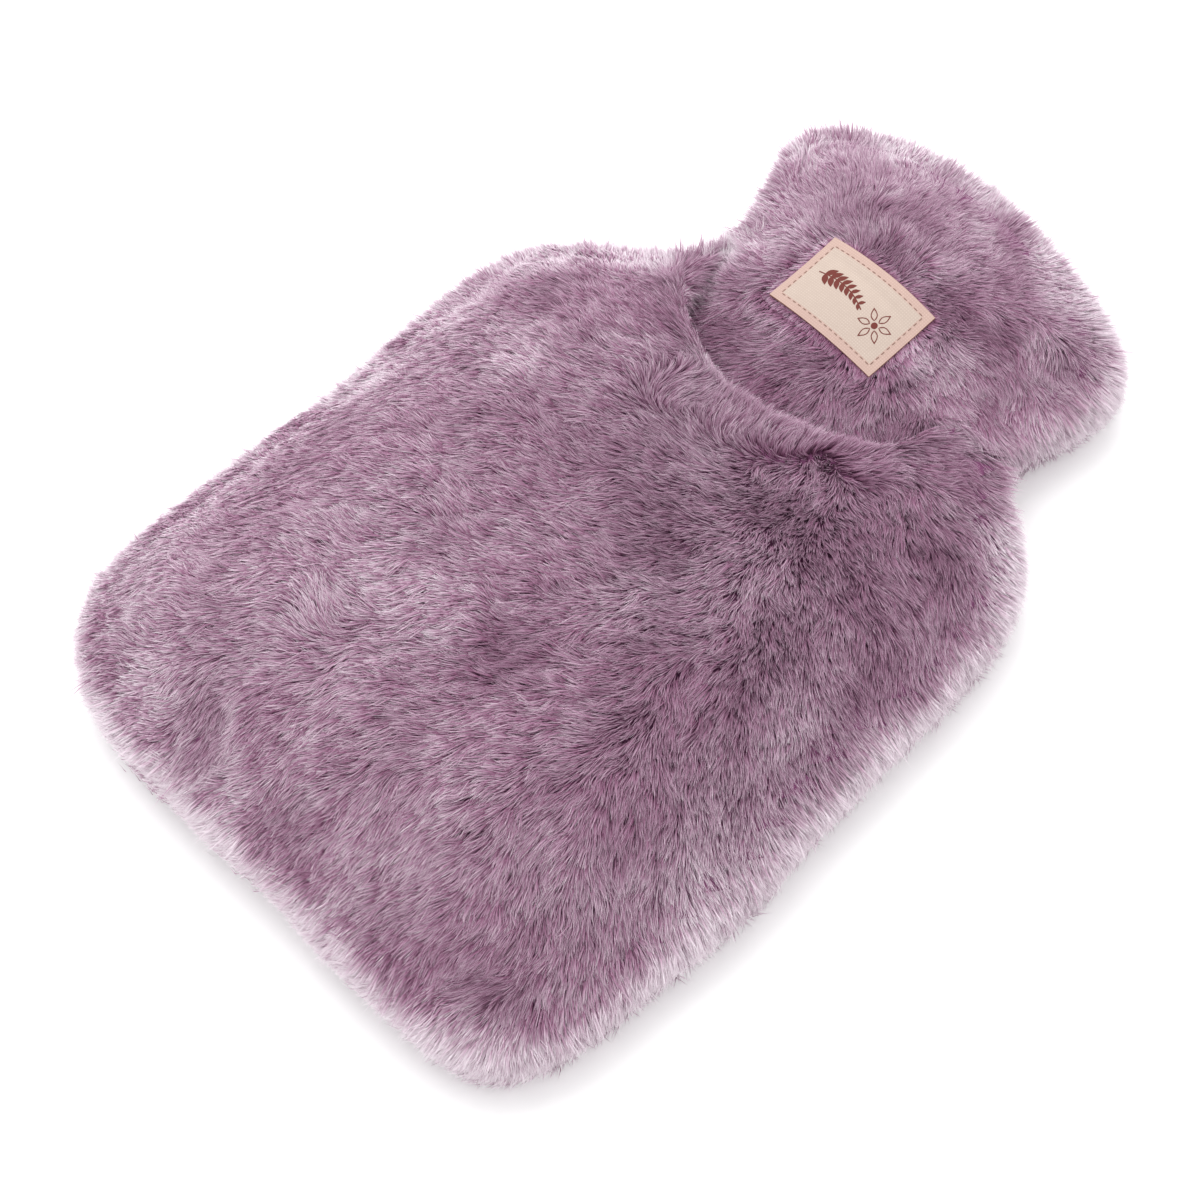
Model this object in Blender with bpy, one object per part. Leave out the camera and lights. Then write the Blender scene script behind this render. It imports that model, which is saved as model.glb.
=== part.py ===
"""Hot water bottle cover in long-pile plush, lying on its back and shaped as if a bottle were inside.

The cover is cut from three panels of plush and one label, each a solid of its own:
  back_panel   a tray from the bottom edge to the top of the head; its pile makes the outer lip
  front_panel  the crowned front of the body, up to the curved edge of the mouth
  neck_panel   the front of the neck and head, whose lower end is a tongue tucked into the mouth
  label        the woven label that is sewn to the neck panel

Frame: +X across the cover, +Y from the bottom edge to the head, +Z up. The origin lies under the
middle of the cover, on the surface that it rests on. Sizes are in millimetres until MM turns them.
"""

from collections import namedtuple
from math import cos, exp, pi, radians, sin

import bmesh
import bpy
import numpy as np

MM = 0.001

PLUSH_COLOUR = (0.33, 0.20, 0.28)
LABEL_COLOUR = (0.80, 0.69, 0.58)

# Driving sizes
SEAM_HEIGHT = 25.0        # height of the side seam above the surface
SEAM_GAP = 0.4            # daylight between two panels that are sewn together
SEAM_INSET = 6.0          # the seam's groove lies this far inside the back panel's lip of pile
SEAM_LAND = 8.0           # width over which the two panels lie on each other at the seam
WALL = 10.0               # plush, backing and pile together
FLOOR_WALL = 8.0          # the same under the cover, where its weight flattens the pile
LIP_MIDDLE = 13.0         # height of the widest point of the lip
LIP_FOOT = 14.0           # the lip curls in this far before it meets the surface
LIP_SWEEP = 40.0          # degrees of arc from the lip's widest point up to the seam
SHOULDER_REACH = 60.0     # width of the rounding from the seam up to the flat of the front
TONGUE_DROOP = 11.0       # how far the tongue's sides hang below its middle
TONGUE_NARROWER = 0.06    # the backing is this share narrower than the pile along the tongue
RIM_BULGE = 3.0           # roundness of the free edges, at the mouth and round the tongue
NORMAL_REACH = 20.0       # length of outline that shares in a point's inward direction

PANEL_LEVEL = SEAM_HEIGHT + SEAM_GAP / 2   # underside of the front panels along the seam
TRAY_LEVEL = SEAM_HEIGHT - SEAM_GAP / 2    # top of the back panel's lip along the seam

# Mesh steps
OUTLINE_STEPS = 132
OUTLINE_PARTS = 8         # finer steps inside each one, for the edges of the front panels
CURVE_PARTS = 24          # straight parts between two knots of a curve, before it is evened out
FRONT_STEPS = (26, 24)    # across, along
NECK_STEPS = (22, 24)
LABEL_STEPS = (8, 6)
BODY_CROWDING = 0.45      # how far a line's points are drawn towards its ends
HEAD_CROWDING = 0.2

Knot = namedtuple("Knot", "x y")
Height = namedtuple("Height", "y top")
Dent = namedtuple("Dent", "x y across along turn depth")

# Outer edge of the pile seen from above, from the bottom left corner counter-clockwise.
OUTLINE = [
    Knot(-92, -156), Knot(-70, -166), Knot(-35, -169), Knot(5, -169), Knot(45, -171),
    Knot(79, -170), Knot(98, -162), Knot(107, -139), Knot(109, -105), Knot(111, -70),
    Knot(107, -35), Knot(105, 5), Knot(102, 42), Knot(93, 66), Knot(76, 82),
    Knot(63, 92), Knot(63, 105), Knot(68, 124), Knot(66, 143), Knot(50, 156),
    Knot(19, 166), Knot(-12, 171), Knot(-43, 167), Knot(-67, 155), Knot(-76, 138),
    Knot(-70, 120), Knot(-64, 103), Knot(-65, 88), Knot(-82, 71), Knot(-99, 57),
    Knot(-109, 37), Knot(-111, 5), Knot(-109, -35), Knot(-111, -80), Knot(-109, -132),
]

# Where the panels' corners sit on the outline. A horn is an end of the mouth.
BOTTOM_LEFT, BOTTOM_RIGHT = Knot(-92, -156), Knot(98, -162)
TOP_LEFT, TOP_RIGHT = Knot(-67, 155), Knot(50, 156)
HORN_LEFT, HORN_RIGHT = Knot(-66, 93), Knot(66, 95)
HORN_LEFT_INSIDE, HORN_RIGHT_INSIDE = Knot(-71, 86), Knot(67, 91)
COLLAR_LEFT, COLLAR_RIGHT = Knot(-64, 97), Knot(66, 97)

# The curved edge of the mouth between the horns, and the part of it that the backing follows.
MOUTH = [
    Knot(-57, 77), Knot(-54, 66), Knot(-44, 55), Knot(-26, 44), Knot(-4, 38), Knot(16, 42),
    Knot(31, 51), Knot(38, 61), Knot(40, 73), Knot(43, 84),
]
MOUTH_INSIDE = MOUTH[1:-1]

# Edge of the tongue inside the mouth, from its left root to its right root.
TONGUE = [
    Knot(-49, 91), Knot(-48, 80), Knot(-48, 62), Knot(-42, 34), Knot(-27, 12), Knot(0, 6),
    Knot(24, 12), Knot(35, 34), Knot(36, 62), Knot(35, 78), Knot(40, 87),
]
TONGUE_CORNERS = (3, 7)   # the places in TONGUE of its lower left and lower right corners
TONGUE_ROOT = (72, 85)    # from the first y to the second, the tongue's form turns into the head's

# Height of the crown along the body's middle, and of the neck panel along its own.
BODY_CROWN = [
    Height(-175, 50), Height(-140, 56), Height(-100, 58), Height(-50, 59), Height(0, 57),
    Height(25, 54), Height(40, 52), Height(60, 49), Height(75, 46), Height(95, 43),
]
NECK_CROWN = [
    Height(0, 30), Height(38, 31), Height(60, 34), Height(80, 39), Height(100, 44),
    Height(120, 47), Height(140, 46), Height(175, 42),
]

# Hollows and swells that show in the front of the body: half widths, turn in degrees, depth.
DENTS = [
    Dent(14, -77, 12, 14, 20, 3.5),
    Dent(-78, -84, 9, 13, 25, 3.5),
    Dent(-60, -62, 16, 9, -20, -2.0),
    Dent(-38, -98, 16, 12, 0, 2.0),
    Dent(5, -160, 7, 22, -12, 4.5),
    Dent(30, -162, 14, 10, 0, -2.0),
    Dent(84, -124, 24, 10, 35, 3.0),
    Dent(-70, 20, 12, 34, 8, 2.5),
    Dent(-20, 0, 34, 26, 0, -2.0),
    Dent(50, -40, 30, 40, 0, -1.5),
]

# The label: its middle, its size, its turn on the neck panel, and the bed it lies in.
LABEL_MIDDLE = Knot(-7.5, 94)
LABEL_SIZE = (45.0, 28.0)
LABEL_TURN = -3.5
LABEL_THICK = 1.0
LABEL_GAP = 0.9
LABEL_BED = 2.4
LABEL_BED_EDGE = (2.0, 8.0)   # the bed's side begins and ends this far outside the label


def clear_scene():
    """Removes what the file holds, so that the script builds into an empty scene."""
    for thing in list(bpy.data.objects):
        bpy.data.objects.remove(thing)


def closed_curve(knots, steps):
    """Even points on a closed smooth curve through the knots."""
    ring = np.array(knots, float)
    fine = []
    for i in range(len(ring)):
        a, b, c, d = (ring[(i + k - 1) % len(ring)] for k in range(4))
        fine += [spline(a, b, c, d, t) for t in np.linspace(0, 1, CURVE_PARTS, endpoint=False)]
    return even_points(np.array(fine + fine[:1]), steps + 1)[:-1]


def open_curve(knots, steps):
    """Even points on a smooth curve from the first knot to the last."""
    line = np.array(knots, float)
    line = np.vstack([2 * line[0] - line[1], line, 2 * line[-1] - line[-2]])
    fine = [line[1]]
    for i in range(len(line) - 3):
        fine += [spline(*line[i:i + 4], t) for t in np.linspace(0, 1, CURVE_PARTS)[1:]]
    return even_points(np.array(fine), steps)


def spline(a, b, c, d, t):
    """Catmull-Rom spline between b and c."""
    return 0.5 * (2 * b + (c - a) * t + (2 * a - 5 * b + 4 * c - d) * t**2
                  + (3 * b - a - 3 * c + d) * t**3)


def even_points(line, steps):
    """The line with its points spaced evenly along it."""
    walked = np.r_[0, np.cumsum(np.hypot(*np.diff(line, axis=0).T))]
    at = np.linspace(0, walked[-1], steps)
    return np.stack([np.interp(at, walked, line[:, k]) for k in range(2)], 1)


def inward(ring):
    """Directions into the cover from each outline point, eased round tight corners."""
    along = np.roll(ring, -1, 0) - ring
    share = int(NORMAL_REACH / np.hypot(*along[0]) / 2)
    normal = np.stack([-along[:, 1], along[:, 0]], 1)
    normal = sum(np.roll(normal, k, 0) for k in range(-share, share))
    return normal / np.linalg.norm(normal, axis=1)[:, None]


def smooth_height(rows, y):
    """Height at y, eased from row to row."""
    at = np.array([row.y for row in rows], float)
    tops = np.array([row.top for row in rows], float)
    k = int(np.clip(np.searchsorted(at, y) - 1, 0, len(at) - 2))
    t = float(np.clip((y - at[k]) / (at[k + 1] - at[k]), 0, 1))
    before, after = max(k - 1, 0), min(k + 2, len(at) - 1)
    return float(spline(tops[before], tops[k], tops[k + 1], tops[after], t))


def ease(value, low, high):
    """0 below low, 1 above high, and smooth between them."""
    t = min(max((value - low) / (high - low), 0.0), 1.0)
    return t * t * (3 - 2 * t)


def shoulder(depth):
    """Share of the crown's height that the plush has reached this far in from the seam."""
    t = min(max(depth / SHOULDER_REACH, 0.0), 1.0)
    return 1 - (1 - t)**2


def dents_at(x, y):
    """How far the hollows and swells lower the front at a place."""
    total = 0.0
    for dent in DENTS:
        turn = radians(dent.turn)
        dx, dy = x - dent.x, y - dent.y
        across = (dx * cos(turn) + dy * sin(turn)) / dent.across
        along = (dy * cos(turn) - dx * sin(turn)) / dent.along
        total += dent.depth * exp(-across**2 - along**2)
    return total


class Cover:
    """The outline of the cover, and the heights that its panels take from it."""

    def __init__(self):
        ring = closed_curve(OUTLINE, OUTLINE_STEPS * OUTLINE_PARTS)
        self.ring = ring - (ring.max(0) + ring.min(0)) / 2
        self.inward = inward(self.ring)

    def loop(self, inset):
        """The outline moved inwards by inset."""
        return self.ring + self.inward * inset

    def edge_distance(self, x, y):
        """Distance from a place inside the cover to its outline."""
        a, b = self.ring, np.roll(self.ring, -1, 0)
        side, point = b - a, np.array([x, y])
        t = np.clip(((point - a) * side).sum(1) / (side**2).sum(1), 0, 1)
        return float(np.hypot(*(a + side * t[:, None] - point).T).min())

    def stretch(self, start, end, inset, steps):
        """The inset outline from the place nearest start to the place nearest end, one way round."""
        first, last = (int(np.argmin(np.hypot(*(self.ring - np.array(knot)).T)))
                       for knot in (start, end))
        count = (last - first) % len(self.ring)
        places = [(first + k) % len(self.ring) for k in range(count + 1)]
        return even_points(self.loop(inset)[places], steps)

    def front_height(self, x, y, wall=0.0):
        """Top of the front panel's pile, or its backing when wall is the plush's thickness."""
        rise = smooth_height(BODY_CROWN, y) - wall - PANEL_LEVEL
        share = shoulder(self.edge_distance(x, y) - seam_edge(wall))
        return PANEL_LEVEL + rise * share - dents_at(x, y) * share

    def neck_height(self, x, y, wall=0.0):
        """Top of the neck panel's pile, or its backing, on the tongue and on the head."""
        crown = smooth_height(NECK_CROWN, y) - wall
        share = shoulder(self.edge_distance(x, y) - seam_edge(wall))
        head = PANEL_LEVEL + (crown - PANEL_LEVEL) * share
        half_width = max(abs(knot.x) for knot in TONGUE)
        tongue = crown - TONGUE_DROOP * (x / half_width)**2
        on_head = ease(y, *TONGUE_ROOT)
        bed = 0.0 if wall else LABEL_BED * label_bed(x, y)
        return tongue * (1 - on_head) + head * on_head - bed


def seam_edge(wall):
    """How far inside the outline a panel's pile, or its backing when there is a wall, is sewn."""
    return SEAM_INSET + (SEAM_LAND if wall else 0.0)


def label_place(x, y):
    """A place on the cover in the label's own directions, from its middle."""
    turn = radians(LABEL_TURN)
    dx, dy = x - LABEL_MIDDLE.x, y - LABEL_MIDDLE.y
    return dx * cos(turn) + dy * sin(turn), dy * cos(turn) - dx * sin(turn)


def label_bed(x, y):
    """1 under the label, falling to 0 just outside it."""
    across, along = label_place(x, y)
    beyond = max(abs(across) - LABEL_SIZE[0] / 2, abs(along) - LABEL_SIZE[1] / 2)
    return 1 - ease(beyond, *LABEL_BED_EDGE)


def coons(bottom, right, top, left):
    """A grid of places between four curves. All run left to right or bottom to top."""
    across, along = len(bottom), len(left)
    grid = np.zeros((along, across, 2))
    for j in range(along):
        for i in range(across):
            u, v = i / (across - 1), j / (along - 1)
            corners = ((1 - u) * (1 - v) * bottom[0] + u * (1 - v) * bottom[-1]
                       + (1 - u) * v * top[0] + u * v * top[-1])
            grid[j, i] = ((1 - v) * bottom[i] + v * top[i]
                          + (1 - u) * left[j] + u * right[j] - corners)
    return grid


def crowd(line, ends=BODY_CROWDING):
    """The line with its points drawn towards both ends, where the plush curves most."""
    even = np.linspace(0, 1, len(line))
    drawn = even * (1 - ends) + ends * (1 - np.cos(pi * even)) / 2
    return np.stack([np.interp(drawn, even, line[:, k]) for k in range(2)], 1)


def lifted(places, height):
    """The grid of places as points, each at its height."""
    return np.array([[(x, y, height(x, y)) for x, y in row] for row in places])


def sewn_down(points, edges):
    """Lays the named edges of a grid on the seam's level."""
    for edge, rows in edges.items():
        line = {"left": points[rows, 0], "right": points[rows, -1],
                "bottom": points[0], "top": points[-1]}[edge]
        line[:, 2] = PANEL_LEVEL
    return points


def shell(name, outer, inner, free, colour):
    """A closed panel between an outer and an inner grid. free(j, i) says where its rim is rounded."""
    along, across = outer.shape[:2]
    bm = bmesh.new()
    top = [[bm.verts.new(p * MM) for p in row] for row in outer]
    low = [[bm.verts.new(p * MM) for p in row] for row in inner]
    for j in range(along - 1):
        for i in range(across - 1):
            bm.faces.new((top[j][i], top[j][i + 1], top[j + 1][i + 1], top[j + 1][i]))
            bm.faces.new((low[j][i], low[j + 1][i], low[j + 1][i + 1], low[j][i + 1]))
    border = ([(0, i) for i in range(across)] + [(j, across - 1) for j in range(1, along)]
              + [(along - 1, i) for i in range(across - 2, -1, -1)]
              + [(j, 0) for j in range(along - 2, 0, -1)])
    middle = {}
    for j, i in border:
        if free(j, i):
            inside = outer[min(max(j, 1), along - 2), min(max(i, 1), across - 2)]
            away = outer[j, i] - inside
            away[2] = 0
            away /= max(np.linalg.norm(away), 1e-6)
            centre = (outer[j, i] + inner[j, i]) / 2
            middle[j, i] = bm.verts.new((centre + away * RIM_BULGE) * MM)
    for (ja, ia), (jb, ib) in zip(border, border[1:] + border[:1]):
        lower = [low[ja][ia], low[jb][ib]]
        upper = [top[jb][ib], top[ja][ia]]
        after = [middle[jb, ib]] if (jb, ib) in middle else []
        before = [middle[ja, ia]] if (ja, ia) in middle else []
        if after and before:
            bm.faces.new(lower + [after[0], before[0]])
            bm.faces.new([before[0], after[0]] + upper)
        else:
            bm.faces.new(lower + after + upper + before)
    return finished(name, bm, colour)


def finished(name, bm, colour):
    """Makes the mesh an object of its own, shaded smooth, in its plush or cloth."""
    bmesh.ops.recalc_face_normals(bm, faces=bm.faces)
    mesh = bpy.data.meshes.new(name)
    bm.to_mesh(mesh)
    bm.free()
    mesh.shade_smooth()
    mesh.set_sharp_from_angle(angle=radians(50))
    thing = bpy.data.objects.new(name, mesh)
    bpy.context.scene.collection.objects.link(thing)
    mesh.materials.append(cloth(name, colour))
    return thing


def cloth(name, colour):
    """A rough cloth of one colour."""
    material = bpy.data.materials.new(name)
    material.use_nodes = True
    shader = material.node_tree.nodes["Principled BSDF"]
    shader.inputs["Base Color"].default_value = (*colour, 1)
    shader.inputs["Roughness"].default_value = 0.95
    shader.inputs["Metallic"].default_value = 0.0
    return material


def back_panel(cover):
    """The tray: a lip of pile all round, flat where it rests and flat inside."""
    profile = []
    sweep = radians(LIP_SWEEP)
    for a in np.linspace(sweep, 0, 4):
        inset = SEAM_INSET * (1 - cos(a)) / (1 - cos(sweep))
        profile.append((inset, LIP_MIDDLE + (TRAY_LEVEL - LIP_MIDDLE) * sin(a) / sin(sweep)))
    for a in np.linspace(0, pi / 2, 5)[1:]:
        profile.append((LIP_FOOT * (1 - cos(a)), LIP_MIDDLE * (1 - sin(a))))
    hollow = [(seam_edge(WALL), TRAY_LEVEL), (WALL + 4, TRAY_LEVEL - 3), (WALL, LIP_MIDDLE + 2),
              (WALL + 3, FLOOR_WALL + 2), (seam_edge(WALL), FLOOR_WALL)]

    bm = bmesh.new()
    rings = [[bm.verts.new((x * MM, y * MM, z * MM)) for x, y in cover.loop(inset)[::OUTLINE_PARTS]]
             for inset, z in hollow[::-1] + profile]
    for lower, upper in zip(rings, rings[1:]):
        for k in range(OUTLINE_STEPS):
            n = (k + 1) % OUTLINE_STEPS
            bm.faces.new((lower[k], lower[n], upper[n], upper[k]))
    bm.faces.new(rings[0])
    bm.faces.new(rings[-1])
    return finished("back_panel", bm, PLUSH_COLOUR)


def front_panel(cover):
    """The crowned front of the body, sewn along its sides and bottom and free at the mouth."""
    across, along = FRONT_STEPS

    def grid(wall):
        inset = seam_edge(wall)
        horns = (HORN_LEFT_INSIDE, HORN_RIGHT_INSIDE) if wall else (HORN_LEFT, HORN_RIGHT)
        bottom = crowd(cover.stretch(BOTTOM_LEFT, BOTTOM_RIGHT, inset, across))
        right = crowd(cover.stretch(BOTTOM_RIGHT, horns[1], inset, along))
        left = crowd(cover.stretch(horns[0], BOTTOM_LEFT, inset, along)[::-1])
        mouth = open_curve([left[-1], *(MOUTH_INSIDE if wall else MOUTH), right[-1]], across)
        places = coons(bottom, right, mouth, left)
        points = lifted(places, lambda x, y: cover.front_height(x, y, wall))
        return sewn_down(points, {"left": slice(None), "right": slice(None), "bottom": None})

    def free(j, i):
        return j == along - 1 and 1 < i < across - 2

    return shell("front_panel", grid(0.0), grid(WALL), free, PLUSH_COLOUR)


def neck_panel(cover):
    """The front of neck and head, sewn round the head, with its free tongue under the mouth."""
    across, along = NECK_STEPS
    tongue_rows = along // 2

    def grid(wall):
        inset = seam_edge(wall)
        draw_in = 1 - TONGUE_NARROWER * bool(wall)
        low, high = TONGUE_CORNERS
        side_left = np.array(TONGUE[:low + 1][::-1], float) * (draw_in, 1)
        side_right = np.array(TONGUE[high:], float) * (draw_in, 1)
        bottom = open_curve(TONGUE[low:high + 1], across)
        top = crowd(cover.stretch(TOP_RIGHT, TOP_LEFT, inset, across))[::-1]
        right = np.vstack([
            open_curve(side_right, tongue_rows),
            crowd(cover.stretch(COLLAR_RIGHT, TOP_RIGHT, inset, along - tongue_rows), HEAD_CROWDING)])
        left = np.vstack([
            open_curve(side_left, tongue_rows),
            crowd(cover.stretch(TOP_LEFT, COLLAR_LEFT, inset, along - tongue_rows)[::-1],
                  HEAD_CROWDING)])
        places = coons(bottom, right, top, left)
        points = lifted(places, lambda x, y: cover.neck_height(x, y, wall))
        sewn = slice(tongue_rows, None)
        return sewn_down(points, {"left": sewn, "right": sewn, "top": None})

    def free(j, i):
        return j < tongue_rows - 1

    return shell("neck_panel", grid(0.0), grid(WALL), free, PLUSH_COLOUR)


def label(cover):
    """The woven label, lying in the bed that it presses into the neck panel's pile."""
    across, along = LABEL_STEPS
    turn = radians(LABEL_TURN)
    places = np.zeros((along, across, 2))
    for j, v in enumerate(np.linspace(-0.5, 0.5, along)):
        for i, u in enumerate(np.linspace(-0.5, 0.5, across)):
            dx, dy = u * LABEL_SIZE[0], v * LABEL_SIZE[1]
            places[j, i] = (LABEL_MIDDLE.x + dx * cos(turn) - dy * sin(turn),
                            LABEL_MIDDLE.y + dy * cos(turn) + dx * sin(turn))
    lower = lifted(places, lambda x, y: cover.neck_height(x, y) + LABEL_GAP)
    upper = lower + np.array([0, 0, LABEL_THICK])
    return shell("label", upper, lower, lambda j, i: False, LABEL_COLOUR)


def build():
    """Builds the whole cover."""
    clear_scene()
    cover = Cover()
    back_panel(cover)
    front_panel(cover)
    neck_panel(cover)
    label(cover)


build()
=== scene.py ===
"""Looks of a long-pile plush hot water bottle cover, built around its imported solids.

Each panel becomes a thin knitted backing that follows its solid, with the pile growing out of it as
joined ribbons of fibre. The woven label gets its weave, its sewing and a small printed sprig.
Sizes are in millimetres until MM turns them to metres.
"""

import logging
import math
from dataclasses import dataclass, field
from enum import Enum
from typing import NamedTuple

import bmesh
import bpy
import numpy as np
from bmesh.types import BMesh, BMFace, BMVert
from bpy.types import ID, Material, Mesh, Node, NodeSocket, NodeTree, Object
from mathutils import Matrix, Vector
from mathutils.bvhtree import BVHTree
from mathutils.kdtree import KDTree


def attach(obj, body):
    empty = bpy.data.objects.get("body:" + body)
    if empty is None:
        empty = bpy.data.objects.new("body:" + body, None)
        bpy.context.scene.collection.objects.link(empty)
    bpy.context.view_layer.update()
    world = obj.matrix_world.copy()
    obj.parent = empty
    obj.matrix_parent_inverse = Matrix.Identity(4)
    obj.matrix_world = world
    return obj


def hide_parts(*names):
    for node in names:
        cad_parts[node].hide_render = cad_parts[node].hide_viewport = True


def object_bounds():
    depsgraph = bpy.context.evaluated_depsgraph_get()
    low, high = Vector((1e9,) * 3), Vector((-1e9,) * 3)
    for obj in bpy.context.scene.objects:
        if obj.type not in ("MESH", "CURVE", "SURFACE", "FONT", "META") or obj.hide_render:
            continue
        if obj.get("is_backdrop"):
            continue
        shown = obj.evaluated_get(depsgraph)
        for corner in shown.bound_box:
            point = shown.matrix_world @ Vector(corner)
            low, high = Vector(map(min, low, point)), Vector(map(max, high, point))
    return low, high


log = logging.getLogger("cover")
Array = np.ndarray

MM = 0.001
BODY = "root"
TONE_MAP = "OFBake"  # the pile's own map: tone across, root to tip along
WELD = 0.01 * MM  # points of a solid that are closer than this are one
WALL_START = 0.2  # rays that measure a wall start this far inside it
WITHIN = 0.99  # rays that measure the label stay inside this share of it
OVERHEAD = 0.1  # and start this high, in metres


class Slot(Enum):
    """Material slots of the part."""

    PLUSH = "plush"
    LABEL = "label_cloth"


class Hold(Enum):
    """How a sheet of cloth is held."""

    STRETCHED = "stretched"
    LAID = "laid"


class Stroke(NamedTuple):
    """One stroke of the comb: where, which way the tips point, how steeply, how light, how far it reaches.
    How light is painted light and shade: paler where the pile lies flat or rims the cover, darker where it
    stands or lies in shade.
    """

    x: float
    y: float
    heading: float
    lean: float
    light: float
    reach: float = 26.0


# the fifth column, how light, is the pile's painted light and shade in each place
FRONT_STROKES = tuple(Stroke(*row) for row in (
    (-105, -71, 197, 14, 0.25), (-72, -30, 207, 16, -0.06), (-95, -117, 202, 12, 0.28),
    (-60, 40, 195, 18, -0.18, 24), (-42, -107, 223, 14, 0.02), (-80, -147, 213, 12, 0.00, 22),
    (-38, -151, 270, 30, -0.14, 9), (-58, -158, 205, 12, 0.15, 10), (-16, -163, 225, 14, 0.18, 10),
    (-32, -104, 163, 20, 0.08, 9), (-19, -142, 237, 16, -0.16, 10), (6, -154, 262, 24, -0.26, 12),
    (77, -143, 262, 32, -0.42, 12), (93, -159, 275, 20, 0.20, 9), (-76, -64, 205, 15, -0.22, 20),
    (-76, -92, 204, 14, -0.06, 20), (-74, -118, 210, 13, -0.04, 20), (-30, -95, 200, 14, 0.08, 8),
    (-40, -74, 212, 16, 0.07, 13), (2, -116, 243, 14, -0.02), (17, -102, 225, 15, -0.02),
    (36, -149, 262, 18, -0.16), (58, -130, 264, 18, -0.04), (20, -79, 231, 40, -0.50, 9),
    (44, -85, 222, 20, -0.20), (33, -58, 216, 26, -0.28), (-13, -45, 205, 20, -0.12),
    (-8, -12, 215, 26, -0.22, 24), (20, -8, 240, 36, -0.22, 24), (49, -32, 255, 34, -0.25),
    (59, -10, 290, 36, -0.14), (57, 23, 305, 36, -0.28), (54, 48, 325, 30, -0.44, 20),
    (-30, 22, 205, 24, -0.10, 20), (4, 20, 225, 34, -0.02, 16), (30, 30, 265, 28, -0.22, 12),
    (-16, 25, 60, 34, -0.08, 8), (2, 29, 80, 34, -0.18, 8), (19, 38, 90, 30, -0.16, 8),
    (38, 51, 70, 30, -0.24, 8), (47, 69, 50, 30, -0.40, 8), (72, -72, 305, 24, -0.20, 12),
    (87, -55, 297, 36, -0.34), (80, -109, 285, 24, -0.06), (94, -115, 313, 22, -0.24, 24),
    (104, -92, 320, 25, 0.22, 24), (103, -57, 325, 34, 0.16, 24), (95, -18, 330, 36, -0.12),
    (90, 26, 335, 30, -0.32, 16), (80, 34, 330, 32, -0.40, 12), (106, 28, 335, 26, 0.20, 9),
    (107, -8, 330, 26, 0.10, 9), (98, 58, 340, 26, 0.22, 9), (80, 2, 322, 38, -0.46, 16),
    (97, -138, 305, 20, -0.22, 22), (66, -150, 262, 18, -0.34, 14), (79, -164, 260, 16, 0.15, 9),
    (75, -88, 290, 24, -0.32, 12), (62, -48, 280, 30, -0.42, 14), (72, 45, 328, 32, -0.58, 14),
    (64, 88, 335, 26, -0.26, 12), (-4, -84, 225, 14, 0.12, 11), (30, -41, 220, 24, 0.02, 10),
    (-60, 4, 200, 16, 0.12, 10), (-74, 30, 195, 30, -0.22, 6), (-40, 50, 190, 22, -0.32, 10),
    (-102, -30, 195, 26, 0.24, 9), (-102, 8, 180, 26, 0.08, 9), (-92, 45, 160, 26, 0.18, 9),
    (-74, 68, 145, 26, 0.36, 9), (-60, 88, 150, 26, 0.05, 7), (-53, 78, 30, 26, -0.40, 8),
    (30, -165, 245, 14, 0.14, 20), (83, 62, 338, 28, 0.24, 24),
))

BACK_STROKES = tuple(Stroke(*row) for row in (
    (-101, -138, 192, 32, 0.30), (-87, -161, 208, 24, 0.30), (-47, -167, 192, 20, 0.45),
    (2, -171, 198, 20, 0.42), (39, -170, 212, 12, 0.30), (72, -169, 225, 14, 0.35),
    (89, -166, 288, 25, 0.55), (100, -149, 329, 35, 0.10), (107, -116, 333, 35, 0.20),
    (112, -79, 332, 38, 0.20), (112, -41, 327, 38, 0.25), (110, 0, 330, 38, 0.25),
    (101, 45, 339, 38, 0.38), (83, 73, 358, 35, 0.30), (-111, -101, 196, 38, 0.30),
    (-111, -54, 191, 38, 0.28), (-111, -18, 180, 38, 0.26), (-109, 40, 170, 38, 0.26),
    (-74, 84, 150, 38, 0.34, 20), (-96, 62, 155, 38, 0.26, 20), (-76, 138, 160, 30, 0.08, 24),
    (-60, 160, 120, 35, 0.20, 24), (-12, 171, 95, 40, 0.30, 30), (45, 160, 60, 38, 0.42),
    (68, 130, 0, 35, 0.30), (66, 98, 340, 30, 0.05, 20),
))

NECK_STROKES = tuple(Stroke(*row) for row in (
    (-55, 116, 158, 24, -0.12, 22), (-48, 95, 200, 20, 0.08, 22), (-53, 142, 130, 30, 0.00, 22),
    (-21, 131, 85, 36, -0.24, 20), (-16, 153, 95, 38, -0.16, 22), (11, 142, 50, 34, -0.26, 22),
    (28, 123, 18, 28, -0.46, 20), (48, 128, 338, 28, -0.20, 20), (40, 150, 30, 32, 0.16, 20),
    (61, 119, 320, 22, 0.00, 18), (62, 140, 345, 26, -0.04, 18), (57, 91, 325, 22, -0.18, 20),
    (41, 86, 332, 24, -0.38, 20), (25, 81, 320, 28, -0.16, 18), (24, 98, 330, 26, 0.08, 8),
    (19, 65, 300, 30, -0.44, 20), (-8, 71, 249, 24, -0.22, 20), (-8, 53, 240, 20, -0.36, 20),
    (-30, 49, 225, 18, -0.36, 20), (-40, 72, 212, 20, -0.24, 18), (6, 123, 55, 30, -0.16, 20),
    (-50, 82, 200, 30, -0.26, 9), (-44, 160, 115, 34, 0.30, 9), (-14, 165, 95, 34, 0.30, 9),
    (18, 162, 75, 34, 0.22, 9), (46, 155, 50, 34, 0.42, 9), (64, 140, 25, 30, 0.12, 9),
))


# ---- colours and materials


def linear(code: str) -> tuple[float, float, float, float]:
    """Turns an sRGB hex colour to linear.

    Args:
        code: Six hex digits with a leading #.

    Returns:
        Linear red, green and blue, and an alpha of 1.
    """
    parts = (int(code[i:i + 2], 16) / 255 for i in (1, 3, 5))
    red, green, blue = (c / 12.92 if c <= 0.04045 else ((c + 0.055) / 1.055) ** 2.4 for c in parts)
    return red, green, blue, 1.0


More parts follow.
